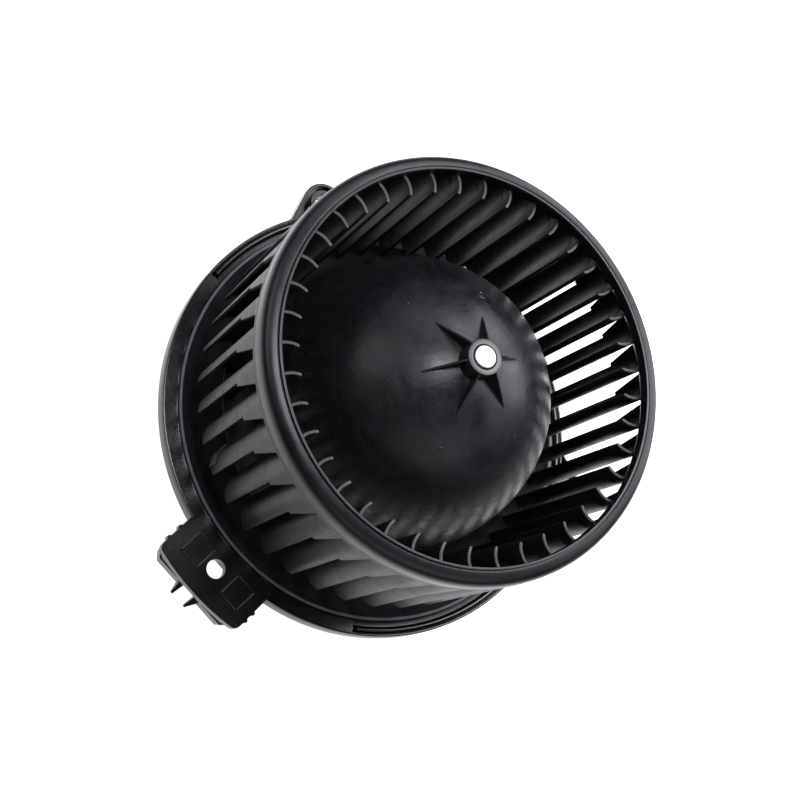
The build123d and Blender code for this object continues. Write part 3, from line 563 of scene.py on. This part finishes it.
def section(thickness, short, extend, margin):
    """A blade's cross-section as one closed loop of (x, y).

    short stops it inside the ring, extend runs it on beyond its curve, and margin thins it for a
    rounded end.
    """
    cx, cy, r = CAMBER
    end = CAMBER_END_SHORT if short else CAMBER_END
    half = thickness / 2 - margin
    spine = []                      # points with their outward normals
    arc_steps = 18
    for i in range(arc_steps + 1):
        t = math.radians(CAMBER_START + (end - CAMBER_START) * i / arc_steps)
        spine.append((cx + r * math.cos(t), cy + r * math.sin(t), math.cos(t), math.sin(t)))
    extra_steps = 5
    x, y, nx, ny = spine[-1]
    tx, ty = -ny, nx
    for i in range(1, extra_steps + 1):
        d = max(extend, 0.05) * i / extra_steps
        px, py = x + tx * d, y + ty * d
        if not short:
            reach = math.hypot(px, py)
            goal = BLADE_REACH - 0.22 * min(1.0, d / 1.5)
            px, py = px * goal / reach, py * goal / reach
            nx, ny = px / goal, py / goal
        spine.append((px, py, nx, ny))
    outer = [(px + nx * half, py + ny * half) for px, py, nx, ny in spine]
    inner = [(px - nx * half, py - ny * half) for px, py, nx, ny in spine][::-1]
    sx, sy, nx, ny = spine[0]
    nose = [(sx - nx * half * math.cos(a) + ny * half * math.sin(a),
             sy - ny * half * math.cos(a) - nx * half * math.sin(a))
            for a in (math.radians(d) for d in (36, 72, 108, 144))]
    ex, ey, nx, ny = spine[-1]
    back = 0.3 * half
    outer[-1] = (outer[-1][0] + ny * back * 0.6, outer[-1][1] - nx * back * 0.6)
    inner[0] = (inner[0][0] + ny * back * 0.6, inner[0][1] - nx * back * 0.6)
    tail = [(ex + nx * half * 0.7, ey + ny * half * 0.7), (ex - nx * half * 0.7, ey - ny * half * 0.7)]
    limit = 72.6 if short else 74.9
    loop = []
    for px, py in outer + tail + inner + nose:
        scale = min(1.0, limit / math.hypot(px, py))
        loop.append((px * scale, py * scale))
    return loop


def blade():
    """One blade from foot to tip: deeper above its step, and short again inside the ring."""
    ring_in = RING_REAR_Z + 0.9
    thick = lambda z: 1.46 - 0.2 * (z - FOOT_Z) / (TIP_Z - FOOT_Z)
    grow = lambda z: 1.3 + 3.3 * (z - STEP_Z) / (RING_REAR_Z - STEP_Z)
    levels = [
        (FOOT_Z, False, 0.0, 0.22), (FOOT_Z + 0.08, False, 0.0, 0.07), (FOOT_Z + 0.25, False, 0.0, 0.0),
        (30.0, False, 0.0, 0.0), (STEP_Z - 0.12, False, 0.0, 0.0),
        (STEP_Z + 0.02, False, 1.15, 0.0), (STEP_Z + 0.15, False, 1.3, 0.0),
        (64.0, False, grow(64.0), 0.0), (RING_REAR_Z, False, grow(RING_REAR_Z), 0.0),
        (ring_in, False, grow(RING_REAR_Z), 0.0), (ring_in + 0.2, True, 0.0, 0.0),
        (TIP_Z - 0.3, True, 0.0, 0.0), (TIP_Z - 0.09, True, 0.0, 0.09), (TIP_Z, True, 0.0, 0.28),
    ]
    loops = []
    for z, short, extend, margin in levels:
        loops.append([(x, y, z) for x, y in section(thick(z), short, extend, margin)])
    return loft(loops)


def dome_outline(base, apex, count):
    """The dome's curve, from its open top down to its base."""
    across, along = DOME_POWERS
    foot = apex - DOME_H
    u_low = (DOME_BASE_Z - foot) / DOME_H
    u_high = (1 - (DOME_TOP_R / base) ** across) ** (1 / along)
    points = []
    for i in range(count):
        u = u_low + (u_high - u_low) * math.sin(math.pi / 2 * (1 - i / (count - 1)))
        points.append((base * (1 - u ** along) ** (1 / across), foot + u * DOME_H))
    return points


def hub():
    """The dome, the flare at its foot and the disc that the blades stand on."""
    outer = dome_outline(DOME_BASE_R, APEX_Z, 48)
    inner = dome_outline(DOME_BASE_R - DOME_WALL, APEX_Z - DOME_WALL, 24)[::-1]

    def bend(start_r, radius, angles):
        return [(start_r + radius * (1 - math.cos(a)), DOME_BASE_Z - radius * math.sin(a))
                for a in (math.radians(d) for d in angles)]

    flare = bend(outer[-1][0], 6.0, (15, 30, 45, 60, 75, 90))
    rim = [(65.6, 13.2), (65.9, 13.08), (66.0, 12.8), (66.0, 11.6), (65.9, 11.3), (65.6, 11.2)]
    under = bend(inner[0][0], 8.0, (90, 68, 45, 22))
    return turned(outer + flare + rim + under + inner, 288)


def dome_at(radius):
    """Height and slope angle of the dome's surface at a radius."""
    across, along = DOME_POWERS
    z = lambda r: APEX_Z - DOME_H + DOME_H * (1 - (r / DOME_BASE_R) ** across) ** (1 / along)
    return z(radius), math.atan((z(radius - 0.05) - z(radius + 0.05)) / 0.1)


def boss():
    profile = [(4.55, 89.0), (6.0, 89.0), (6.2, 88.93), (6.3, 88.7), (6.42, 84.0), (6.5, 80.0),
               (6.3, 64.3), (6.0, 64.0), (4.3, 64.0), (4.05, 64.2), (4.05, 88.3), (4.25, 88.7)]
    return turned(profile, 96)


def star_rib():
    """A thin gusset whose top runs straight from the boss down to the dome."""
    tip_r = 18.6
    edge = 0.16
    tip_z = dome_at(tip_r)[0]
    loops = []
    for r in (5.4, 7, 9, 11, 13, 15, 16.6, 17.8, tip_r - 0.15, tip_r + 0.25):
        base_z = dome_at(r)[0] - 0.6
        line_z = tip_z + 0.12 + (BOSS_TOP_Z - 0.55 - tip_z) * (tip_r - r) / (tip_r - BOSS_R)
        top_z = min(line_z, BOSS_TOP_Z - 0.4)
        thin, wide = 0.36, 0.36 + 0.035 * (top_z - base_z)
        if r > tip_r:
            thin, wide = 0.2, 0.22
        loops.append([(r, -wide, base_z), (r, wide, base_z), (r, thin, top_z - edge),
                      (r, thin - edge, top_z - 0.03), (r, -thin + edge, top_z - 0.03),
                      (r, -thin, top_z - edge)])
    return loft(loops)


def pin_mark(angle, size):
    """A shallow raised ring that an ejector pin leaves on the dome."""
    z, slope = dome_at(PIN_MARK_R)
    k = size / 1.9
    profile = [(0, 0.07), (0.35 * k, 0.07), (0.45 * k, 0.02), (1.15 * k, 0.02), (1.3 * k, 0.14),
               (1.5 * k, 0.16), (1.72 * k, 0.1), (1.9 * k, -0.05), (1.9 * k, -0.5), (0, -0.5)]
    place = turn_z(angle) @ shift(PIN_MARK_R, 0, z) @ Matrix.Rotation(slope, 4, "Y")
    return spun(profile, 40), place


def around(shape, angles):
    """Copies of one shape, turned about the wheel's axis."""
    soup = Soup()
    for angle in angles:
        soup.add(shape, turn_z(angle))
    return soup


def wheel_piece(name, soup, material, sharp=30):
    piece(name, soup, material, "rotor", "fan_wheel", sharp)


wheel_piece("wheel_blades", around(blade(), [PHASE + i * 360 / BLADES for i in range(BLADES)]), BLADE, 40)
wheel_piece("wheel_inlet_ring", Soup().add(inlet_ring()), RING)
hub_soup = Soup().add(hub())
for i, size in enumerate(PIN_MARK_SIZES):
    hub_soup.add(*pin_mark(RIB_PHASE + 60 * i, size))
wheel_piece("wheel_hub", hub_soup, MATERIALS["wheel_plastic"])
wheel_piece("wheel_star_ribs", around(star_rib(), [RIB_PHASE + 60 * i for i in range(6)]),
            MATERIALS["wheel_plastic"])
wheel_piece("wheel_boss", Soup().add(boss()), BOSS_FACE)

shaft_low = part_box("motor_shaft")[0][2] / MM
shaft_profile = [(0, shaft_low), (3.6, shaft_low), (4.0, shaft_low + 0.4), (4.0, 60), (4.0, 88.6),
                 (3.97, 88.95), (3.85, 89.25), (3.62, 89.38), (3.3, 89.4), (1.5, 89.4), (0, 89.4)]
piece("shaft", Soup().add(spun(shaft_profile, 96)), MATERIALS["shaft_steel"], "rotor",
      "motor_shaft")


# ---------------------------------------------------------------- flange
NOTCHES = (-171.0, -51.0, 69.0)     # gaps in the bead, in degrees
FLAT = (-171.0, -51.0)              # no groove or bead between these, round the wide ear
GROOVE_Z = -1.75
FACE_Z = -0.02
HOLE_R = 3.5
HOLE_CIRCLE_R = 88.5
EAR_DEPTH = 6.3


def flange_profile(angle):
    """The flange's section: a rim with a grooved bead, a ridge, a bowl and the cup for the motor."""
    angle = (angle + 180) % 360 - 180
    notch = any(abs(angle - n) < 0.62 for n in NOTCHES)
    flat = FLAT[0] < angle < FLAT[1] and not notch
    bead = GROOVE_Z if notch else 0.0
    rim = [(82.8, -6.3), (84.75, -6.3), (84.95, -6.1), (84.9, -3.0), (84.75, -0.45), (84.6, -0.12),
           (84.3, FACE_Z)]
    groove = [(83.95, FACE_Z - 0.05), (83.75, GROOVE_Z * 0.55), (83.45, GROOVE_Z * 0.6),
              (83.2, bead - 0.55), (82.9, bead - 0.2), (82.4, bead - 0.02), (81.9, bead - 0.05),
              (81.4, bead - 0.3), (81.05, bead - 0.8), (80.85, GROOVE_Z), (79.6, GROOVE_Z)]
    if flat:
        groove = [(r, FACE_Z) for r, z in groove[:-1]] + [(79.6, -0.05)]
    ridge = [(79.2, (-0.15 if flat else GROOVE_Z) + 0.1), (78.9, -0.2), (78.72, 0.55), (78.5, 0.88),
             (78.2, 1.0), (77.9, 0.9), (77.65, 0.6), (77.4, -0.2)]
    bowl = [(76.9, -0.75), (76.0, -1.5), (74.6, -2.9), (73.0, -4.3), (71.4, -5.4), (69.8, -6.1),
            (68.0, -6.45), (66.0, -6.5), (50.0, -6.5), (41.4, -6.5), (40.2, -6.2), (39.2, -5.4)]
    cup = [(38.8, -4.2), (38.7, 0), (38.7, 33.6), (38.6, 33.9), (38.3, 34.0), (34.1, 34.0),
           (33.85, 33.9), (33.8, 33.6), (33.8, 31.6), (36.2, 31.6), (36.2, 10), (36.2, -8.4)]
    under = [(36.5, -8.7), (44.0, -8.7), (66.0, -8.7), (69.6, -8.35), (72.6, -7.2), (75.2, -5.5),
             (77.2, -4.5), (79.5, -4.2), (82.2, -4.2), (82.7, -4.6)]
    return rim + groove + ridge + bowl + cup + under


def notch_angles():
    """Even steps, plus a close pair each side of every notch."""
    steps = 288
    angles = [i * 360 / steps - 180 for i in range(steps)]
    for n in NOTCHES:
        angles = [a for a in angles if abs(a - n) > 0.8]
        angles += [n - 0.63, n - 0.6, n, n + 0.6, n + 0.63]
    return sorted(angles)


def ear_tip(grow):
    """A round ear's outline beyond the rim, pointing along +X, from one side to the other."""
    radius = 8.5 + grow
    root_x, root_y = 83.1, 16.6 + grow * 1.2
    gap = root_x - HOLE_CIRCLE_R
    facing = math.degrees(math.atan2(root_y, gap) - math.acos(radius / math.hypot(gap, root_y)))
    return arc(HOLE_CIRCLE_R, 0, radius, -facing, facing, 26), root_y


def rim_line(radius, half_width):
    """Points along a circle about the axis, from +half_width to -half_width in Y."""
    steps = 12
    ys = [half_width * (1 - 2 * i / steps) for i in range(steps + 1)]
    return [(math.sqrt(radius * radius - y * y), y) for y in ys]


def round_ear():
    """Open towards the wheel: a rim wall, a floor, a boss round the hole and two dividers."""
    soup = Soup()
    tip, root_y = ear_tip(0)
    outline = tip + rim_line(83.6, root_y)
    tip, root_y = ear_tip(-1.5)
    opening = tip + rim_line(84.2, root_y)
    hole = circle(HOLE_CIRCLE_R, 0, HOLE_R, 40)
    soup.add(plate(outline, -EAR_DEPTH, -0.02, 0.3, [opening]))
    soup.add(plate(outline, -6.25, -4.2, 0.1, [hole]))
    soup.add(plate(circle(HOLE_CIRCLE_R, 0, 5.7, 48), -6.0, -0.05, 0.3, [hole]))
    for side in (-1, 1):
        wall = [(84.0, side * 9.6), (84.0, side * 10.7), (88.8, side * 5.9), (88.8, side * 4.8)]
        soup.add(plate(wall, -6.0, -0.9, 0.2))
    return soup


WIDE_LEFT, WIDE_RIGHT = -19.7, 20.9
WIDE_OUTER_R = 100.4
WIDE_ROOT_R = 82.6
WINDOWS = ((-13.7, -5.1, -93.4, -83.7), (7.3, 15.8, -93.3, -83.8))      # x, x, y, y
SIDE_NIBS = ((WIDE_LEFT, -87.8, -1), (WIDE_LEFT, -93.4, -1), (WIDE_RIGHT, -89.2, 1),
             (WIDE_RIGHT, -93.0, 1))
FOOT_NEAR, FOOT_FAR = -83.2, -98.8
FOOT_INNER, FOOT_NECK = 5.6, 2.9    # the inner side, and the narrow part beyond the hole
FOOT_CUT, FOOT_WALL = 2.6, 1.7
FINS = ((-5.4, -2.7, -4.0, -2.95), (2.85, 6.3, 2.75, 3.8))              # x at the root and the tip
FIN_STATIONS = ((-97.6, 0), (-98.6, 0.12), (-99.8, 0.4), (-101.2, 0.7), (-102.3, 0.93), (-102.8, 1.0))


def wide_outline():
    def below(x, radius):
        return (x, -math.sqrt(radius ** 2 - x ** 2))

    def heading(point):
        return math.degrees(math.atan2(point[1], point[0]))

    far_left, far_right = below(WIDE_LEFT, WIDE_OUTER_R), below(WIDE_RIGHT, WIDE_OUTER_R)
    root_left, root_right = below(WIDE_LEFT, WIDE_ROOT_R), below(WIDE_RIGHT, WIDE_ROOT_R)
    outer = arc(0, 0, WIDE_OUTER_R, heading(far_left), heading(far_right), 30)
    root = arc(0, 0, WIDE_ROOT_R, heading(root_right), heading(root_left), 24)
    corners = [rounded(points, [0, 3.6, 0], 8, closed=False)[1:-1]
               for points in ([(WIDE_LEFT, -84), far_left, outer[4]],
                              [outer[-5], far_right, (WIDE_RIGHT, -84)])]
    return corners[0] + outer[5:-5] + corners[1] + root


def wide_foot(side, far_x):
    """One of the two boxes under the wide ear, open below, with a step round its outside."""
    loop = [(FOOT_INNER, FOOT_NEAR), (far_x, FOOT_NEAR), (far_x, FOOT_FAR + FOOT_CUT),
            (far_x - FOOT_CUT, FOOT_FAR), (FOOT_NECK, FOOT_FAR), (FOOT_NECK, FOOT_FAR + 4.6),
            (FOOT_INNER, FOOT_FAR + 7.6)]
    hollow = [(FOOT_INNER + FOOT_WALL, FOOT_NEAR - FOOT_WALL), (far_x - FOOT_WALL, FOOT_NEAR - FOOT_WALL),
              (far_x - FOOT_WALL, FOOT_FAR + FOOT_CUT + 0.6), (far_x - FOOT_CUT - 0.6, FOOT_FAR + FOOT_WALL),
              (FOOT_NECK + FOOT_WALL, FOOT_FAR + FOOT_WALL), (FOOT_NECK + FOOT_WALL, FOOT_FAR + 4.0),
              (FOOT_INNER + FOOT_WALL, FOOT_FAR + 6.9)]
    step = [(x + (0.45 if x > 12 else 0), y - (0.45 if y < FOOT_FAR + 1 else 0)) for x, y in loop]
    loop, hollow, step = ([(side * x, y) for x, y in points] for points in (loop, hollow, step))
    inside = rounded(hollow, 0.4, 2)
    return (plate(rounded(loop, 0.5, 3), -14.0, -3.6, 0.2, [inside], 0.3),
            plate(rounded(step, 0.5, 3), -8.6, -7.4, 0.3, [inside], 0.3))


def guide_fin(root_a, root_b, tip_a, tip_b):
    """A wedge that narrows and drops away from the ear's far wall."""
    edge = 0.22
    loops = []
    for y, t in FIN_STATIONS:
        x0, x1 = root_a + (tip_a - root_a) * t, root_b + (tip_b - root_b) * t
        top = -7.4 - 5.0 * t
        low = -13.98 + (0.25 if t == 1.0 else 0)
        loops.append([(x0 + edge, y, low), (x1 - edge, y, low), (x1, y, low + edge), (x1, y, top - edge),
                      (x1 - edge, y, top), (x0 + edge, y, top), (x0, y, top - edge), (x0, y, low + edge)])
    return loft(loops)


def wide_ear():
    soup = Soup()
    soup.add(plate(wide_outline(), -4.0, 0.0, 0.3, [circle(0, -HOLE_CIRCLE_R, HOLE_R, 40)]))
    half_bead = 0.45
    for x0, x1, y0, y1 in WINDOWS:
        rim = rectangle(x0 - half_bead, y0 - half_bead, x1 + half_bead, y1 + half_bead, 0.8)
        inside = rectangle(x0 + half_bead, y0 + half_bead, x1 - half_bead, y1 - half_bead, 0.4)
        soup.add(plate(rim, -1.0, 0.42, 0.42, [inside]))
    for x, y, out in SIDE_NIBS:
        soup.add(plate(circle(x - out * 0.15, y, 0.95, 24), -3.9, -0.15, 0.25))
    for side, far_x in ((-1, 18.2), (1, 18.6)):
        for shape in wide_foot(side, far_x):
            soup.add(shape)
    for fin in FINS:
        soup.add(guide_fin(*fin))
    return soup


def under_parts():
    """Stiffeners under the bowl and the posts that take the cover's screws."""
    verts, faces = plate([(54.7, -12.6), (68.4, -9.2), (68.8, -8.2), (54.7, -8.2)], -0.8, 0.8, 0.25)
    stiffener = ([(x, z, y) for x, y, z in verts], faces)
    post = plate(circle(50, 0, 4.0, 40), -7.5, -1.5, 0.4, edge_low=0)
    soup = around(stiffener, [15 + 30 * i for i in range(12)])
    for angle in (30, 150, 270):
        soup.add(post, turn_z(angle))
    return soup


def flange_piece(name, soup, sharp=20):
    piece(name, soup, MATERIALS["flange_plastic"], "stator", "mounting_flange", sharp)


flange_piece("flange_body", Soup().add(turned(flange_profile, notch_angles())), 30)
one_ear = round_ear()
flange_piece("flange_round_ears", around((one_ear.verts, one_ear.faces), (30, 150)))
flange_piece("flange_wide_ear", wide_ear())
flange_piece("flange_ribs", under_parts())


# ---------------------------------------------------------------- camera
def add_camera():
    """The photo's own view, found by fitting the ring, the flange and the shaft."""
    data = bpy.data.cameras.new("camera")
    data.sensor_width = 36.0
    data.lens = 58.66
    data.clip_start = 0.01
    data.clip_end = 20.0
    camera = bpy.data.objects.new("camera", data)
    bpy.context.scene.collection.objects.link(camera)
    right = Vector((0.6441, 0.6393, 0.4201))
    up = Vector((-0.7573, 0.6102, 0.2325))
    back = right.cross(up).normalized()
    right = up.cross(back).normalized()
    turn = Matrix((right, up, back)).transposed().to_4x4()
    place = Vector((-53.67, -227.91, 451.06)) * MM
    camera.matrix_world = Matrix.Translation(place) @ turn
    bpy.context.scene.camera = camera


add_camera()


# ---------------------------------------------------------------- floor and light
def add_floor():
    """A pale floor that glows softly under the object and fades away from it."""
    low_z = cad_box[0][2] - 0.0001
    mesh = bpy.data.meshes.new("floor")
    size = 2.5
    corners = [(-size, -size, low_z), (size, -size, low_z), (size, size, low_z), (-size, size, low_z)]
    mesh.from_pydata(corners, [], [(0, 1, 2, 3)])
    floor = bpy.data.objects.new("floor", mesh)
    bpy.context.scene.collection.objects.link(floor)
    n = Nodes("floor")

    def glow(half, fade, near, far):
        """Near inside a box of half size half under the object, and far beyond fade metres of it."""
        steps = (("SUBTRACT", (0.02, 0.095, low_z)), ("ABSOLUTE", None), ("SUBTRACT", half),
                 ("MAXIMUM", (0, 0, 0)), ("LENGTH", None))
        source = n.place
        for operation, operand in steps:
            node = n.new("ShaderNodeVectorMath", operation=operation)
            n.link(source, node.inputs[0])
            if operand:
                node.inputs[1].default_value = operand
            source = node.outputs["Value" if operation == "LENGTH" else "Vector"]
        level = n.new("ShaderNodeMapRange")
        n.link(source, level.inputs["Value"])
        for key, value in (("From Max", fade), ("To Min", near), ("To Max", far)):
            level.inputs[key].default_value = value
        return level.outputs["Result"]

    cast = glow((0.18, 0.20, 0), 0.12, 0.74, 0.08)
    seen = glow((0.27, 0.31, 0), 0.50, 1.02, 0.82)
    path = n.new("ShaderNodeLightPath")
    strength = n.new("ShaderNodeMix")
    n.link(path.outputs["Is Camera Ray"], strength.inputs[0])
    n.link(cast, strength.inputs[2])
    n.link(seen, strength.inputs[3])
    n.link(strength.outputs[0], n.shader.inputs["Emission Strength"])
    n.shader.inputs["Emission Color"].default_value = (1, 1, 1, 1)
    mesh.materials.append(n.finish((0.85, 0.85, 0.85, 1), 0.9))


def add_area(name, target, azimuth, elevation, distance, size, radiance, tint):
    """A soft light seen from target along a direction, set by the brightness of its surface."""
    data = bpy.data.lights.new(name, "AREA")
    data.shape = "RECTANGLE"
    data.size, data.size_y = size
    data.energy = radiance * math.pi * size[0] * size[1]
    data.color = tint
    a, e = math.radians(azimuth), math.radians(elevation)
    toward = Vector((math.cos(a) * math.cos(e), math.sin(a) * math.cos(e), math.sin(e)))
    light = bpy.data.objects.new(name, data)
    light.location = Vector(target) + toward * distance
    light.rotation_euler = (-toward).to_track_quat("-Z", "Y").to_euler()
    bpy.context.scene.collection.objects.link(light)


LIGHT_TARGET = (0, 0, 0.085)
LIGHT_TINT = (0.965, 0.925, 1.0)
LIGHTS = {                          # azimuth, elevation, distance, width, height, radiance
    "key": (71, 56, 0.55, 0.25, 0.28, 13.0),
    "key_side": (50, 48, 0.55, 0.32, 0.32, 2.0),
    "overhead": (175, 76, 0.60, 0.20, 0.18, 13.0),
    "back_low": (90, 14, 0.7, 0.34, 0.30, 3.0),
    "right_low": (56, 14, 0.7, 0.36, 0.30, 3.6),
    "right": (26, 30, 0.6, 0.26, 0.26, 0.8),
    "right_front": (335, 36, 0.7, 0.40, 0.35, 0.7),
    "left": (200, 33, 0.5, 0.30, 0.24, 1.3),
    "left_low": (148, 34, 0.6, 0.28, 0.28, 0.9),
    "left_back": (114, 40, 0.6, 0.26, 0.26, 4.0),
    "front_fill": (-62, 30, 0.8, 0.50, 0.50, 0.5),
}


def add_light():
    """A dim white world, white to the camera, and one soft light for each row of LIGHTS."""
    world = bpy.data.worlds.new("world")
    world.use_nodes = True
    tree = world.node_tree
    shade = tree.nodes["Background"]
    shade.inputs["Color"].default_value = (1, 1, 1, 1)
    path = tree.nodes.new("ShaderNodeLightPath")
    level = tree.nodes.new("ShaderNodeMapRange")
    level.inputs["To Min"].default_value = 0.03
    level.inputs["To Max"].default_value = 0.9
    tree.links.new(path.outputs["Is Camera Ray"], level.inputs["Value"])
    tree.links.new(level.outputs["Result"], shade.inputs["Strength"])
    bpy.context.scene.world = world
    for name, (azimuth, elevation, distance, wide, tall, radiance) in LIGHTS.items():
        add_area(name, LIGHT_TARGET, azimuth, elevation, distance, (wide, tall), radiance, LIGHT_TINT)


add_floor()
add_light()
bpy.context.scene.view_settings.view_transform = "Standard"
